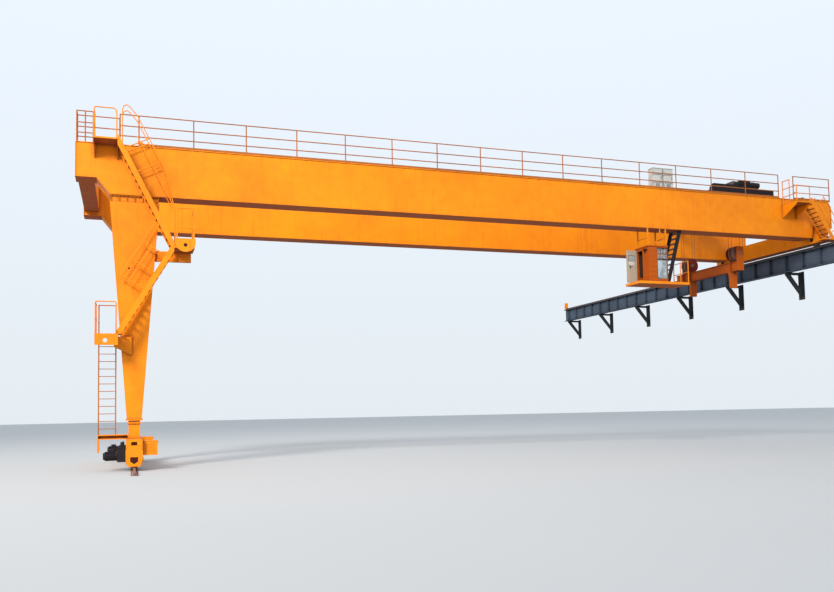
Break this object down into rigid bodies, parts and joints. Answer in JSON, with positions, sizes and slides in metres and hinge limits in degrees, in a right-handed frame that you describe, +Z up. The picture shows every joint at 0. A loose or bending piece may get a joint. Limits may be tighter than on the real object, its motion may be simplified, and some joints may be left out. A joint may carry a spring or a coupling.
{
  "type": "semi-gantry crane",
  "caption": "Double box-girder travelling crane on tapered legs and a wall runway, with top trolley, lifting beam with claws, operator's cab, stairs and railings.",
  "frame": {"origin": "centre of the wall face of the second runway bracket's bolted plate", "axes": "+X along the girders into the wall, +Y along the rails away from the cab side, +Z up"},
  "size_m": [36.02, 30, 13.6808],
  "materials": {
    "paint": "satin",
    "steel": "satin",
    "runway_paint": "satin",
    "machine": "satin",
    "beige": "satin",
    "glass": "clear"
  },
  "bodies": {
    "track": {"ground_rail": "steel", "runway_beam": "runway_paint", "runway_rail": "steel", "runway_brackets": "machine", "runway_stops": "paint"},
    "crane": {"near_girder": "paint", "far_girder": "paint", "left_end_tie": "paint", "trolley_rails": "steel", "trolley_stops": "paint", "near_leg": "paint", "far_leg": "paint", "leg_saddles": "paint", "ground_carriage": "paint", "wall_carriage": "paint", "travel_motors": "machine", "motor_covers": "paint", "near_girder_railing": "paint", "far_girder_railing": "paint", "left_end_railing": "paint", "leg_platform": "paint", "landing": "paint", "lower_stair": "paint", "upper_stair": "paint", "leg_ladder": "paint", "service_step": "paint", "left_top_platform": "paint", "right_top_platform": "paint", "wall_stair": "paint", "cab_shell": "paint", "cab_glazing": "glass", "cab_deck": "paint", "cab_hangers": "paint", "cab_ladder": "machine", "electric_boxes": "beige", "door_pivots": "machine"},
    "cab_door": {"cab_door": "beige"},
    "ground_wheel_near": {"ground_wheel_near": "steel"},
    "ground_wheel_far": {"ground_wheel_far": "steel"},
    "wall_wheel_near": {"wall_wheel_near": "steel"},
    "wall_wheel_far": {"wall_wheel_far": "steel"},
    "trolley": {"trolley_frame": "machine", "hoist_machinery": "machine"},
    "drum": {"hoist_drum": "steel"},
    "left_axle": {"trolley_wheels_left": "steel"},
    "right_axle": {"trolley_wheels_right": "steel"},
    "load_beam": {"lifting_beam": "paint", "claws": "paint", "hook_sheaves": "steel", "drum_ropes": "steel", "anchor_ropes": "steel"}
  },
  "joints": [
    {"name": "crane_travel", "type": "slide", "parent": "track", "child": "crane", "axis": [0, 1, 0], "range_m": [-1.6, 18.8]},
    {"name": "trolley_travel", "type": "slide", "parent": "crane", "child": "trolley", "axis": [1, 0, 0], "range_m": [-26.6, 1.7]},
    {"name": "hoist", "type": "slide", "parent": "trolley", "child": "load_beam", "axis": [0, 0, -1], "range_m": [0, 7.4], "deforming": ["drum_ropes", "anchor_ropes"]},
    {"name": "cab_door_hinge", "type": "hinge", "parent": "crane", "child": "cab_door", "pos_m": [-11.182, -1.36, -0.47], "axis": [0, 0, 1], "range_deg": [0, 90]},
    {"name": "ground_wheel_near_spin", "type": "hinge", "parent": "crane", "child": "ground_wheel_near", "pos_m": [-33.9, -2.09, -7.93], "axis": [1, 0, 0], "range_deg": [-3700, 400]},
    {"name": "ground_wheel_far_spin", "type": "hinge", "parent": "crane", "child": "ground_wheel_far", "pos_m": [-33.9, 4.87, -7.93], "axis": [1, 0, 0], "range_deg": [-3700, 400]},
    {"name": "wall_wheel_near_spin", "type": "hinge", "parent": "crane", "child": "wall_wheel_near", "pos_m": [-0.9, -2.09, 2.02], "axis": [1, 0, 0], "range_deg": [-3700, 400]},
    {"name": "wall_wheel_far_spin", "type": "hinge", "parent": "crane", "child": "wall_wheel_far", "pos_m": [-0.9, 4.87, 2.02], "axis": [1, 0, 0], "range_deg": [-3700, 400]},
    {"name": "left_axle_spin", "type": "hinge", "parent": "trolley", "child": "left_axle", "pos_m": [-6.5, 1.39, 4.31], "axis": [0, 1, 0], "range_deg": [-7800, 600]},
    {"name": "right_axle_spin", "type": "hinge", "parent": "trolley", "child": "right_axle", "pos_m": [-3.4, 1.39, 4.31], "axis": [0, 1, 0], "range_deg": [-7800, 600]},
    {"name": "drum_spin", "type": "hinge", "parent": "trolley", "child": "drum", "pos_m": [-4.95, 1.39, 4.76], "axis": [0, 1, 0], "range_deg": [-2500, 60]}
  ],
  "couplings": [
    {"joint": "ground_wheel_near_spin", "follows": "crane_travel", "rad_per_m": -3.3333},
    {"joint": "ground_wheel_far_spin", "follows": "crane_travel", "rad_per_m": -3.3333},
    {"joint": "wall_wheel_near_spin", "follows": "crane_travel", "rad_per_m": -3.3333},
    {"joint": "wall_wheel_far_spin", "follows": "crane_travel", "rad_per_m": -3.3333},
    {"joint": "left_axle_spin", "follows": "trolley_travel", "rad_per_m": 5},
    {"joint": "right_axle_spin", "follows": "trolley_travel", "rad_per_m": 5},
    {"joint": "drum_spin", "follows": "hoist", "rad_per_m": -5.7143}
  ]
}
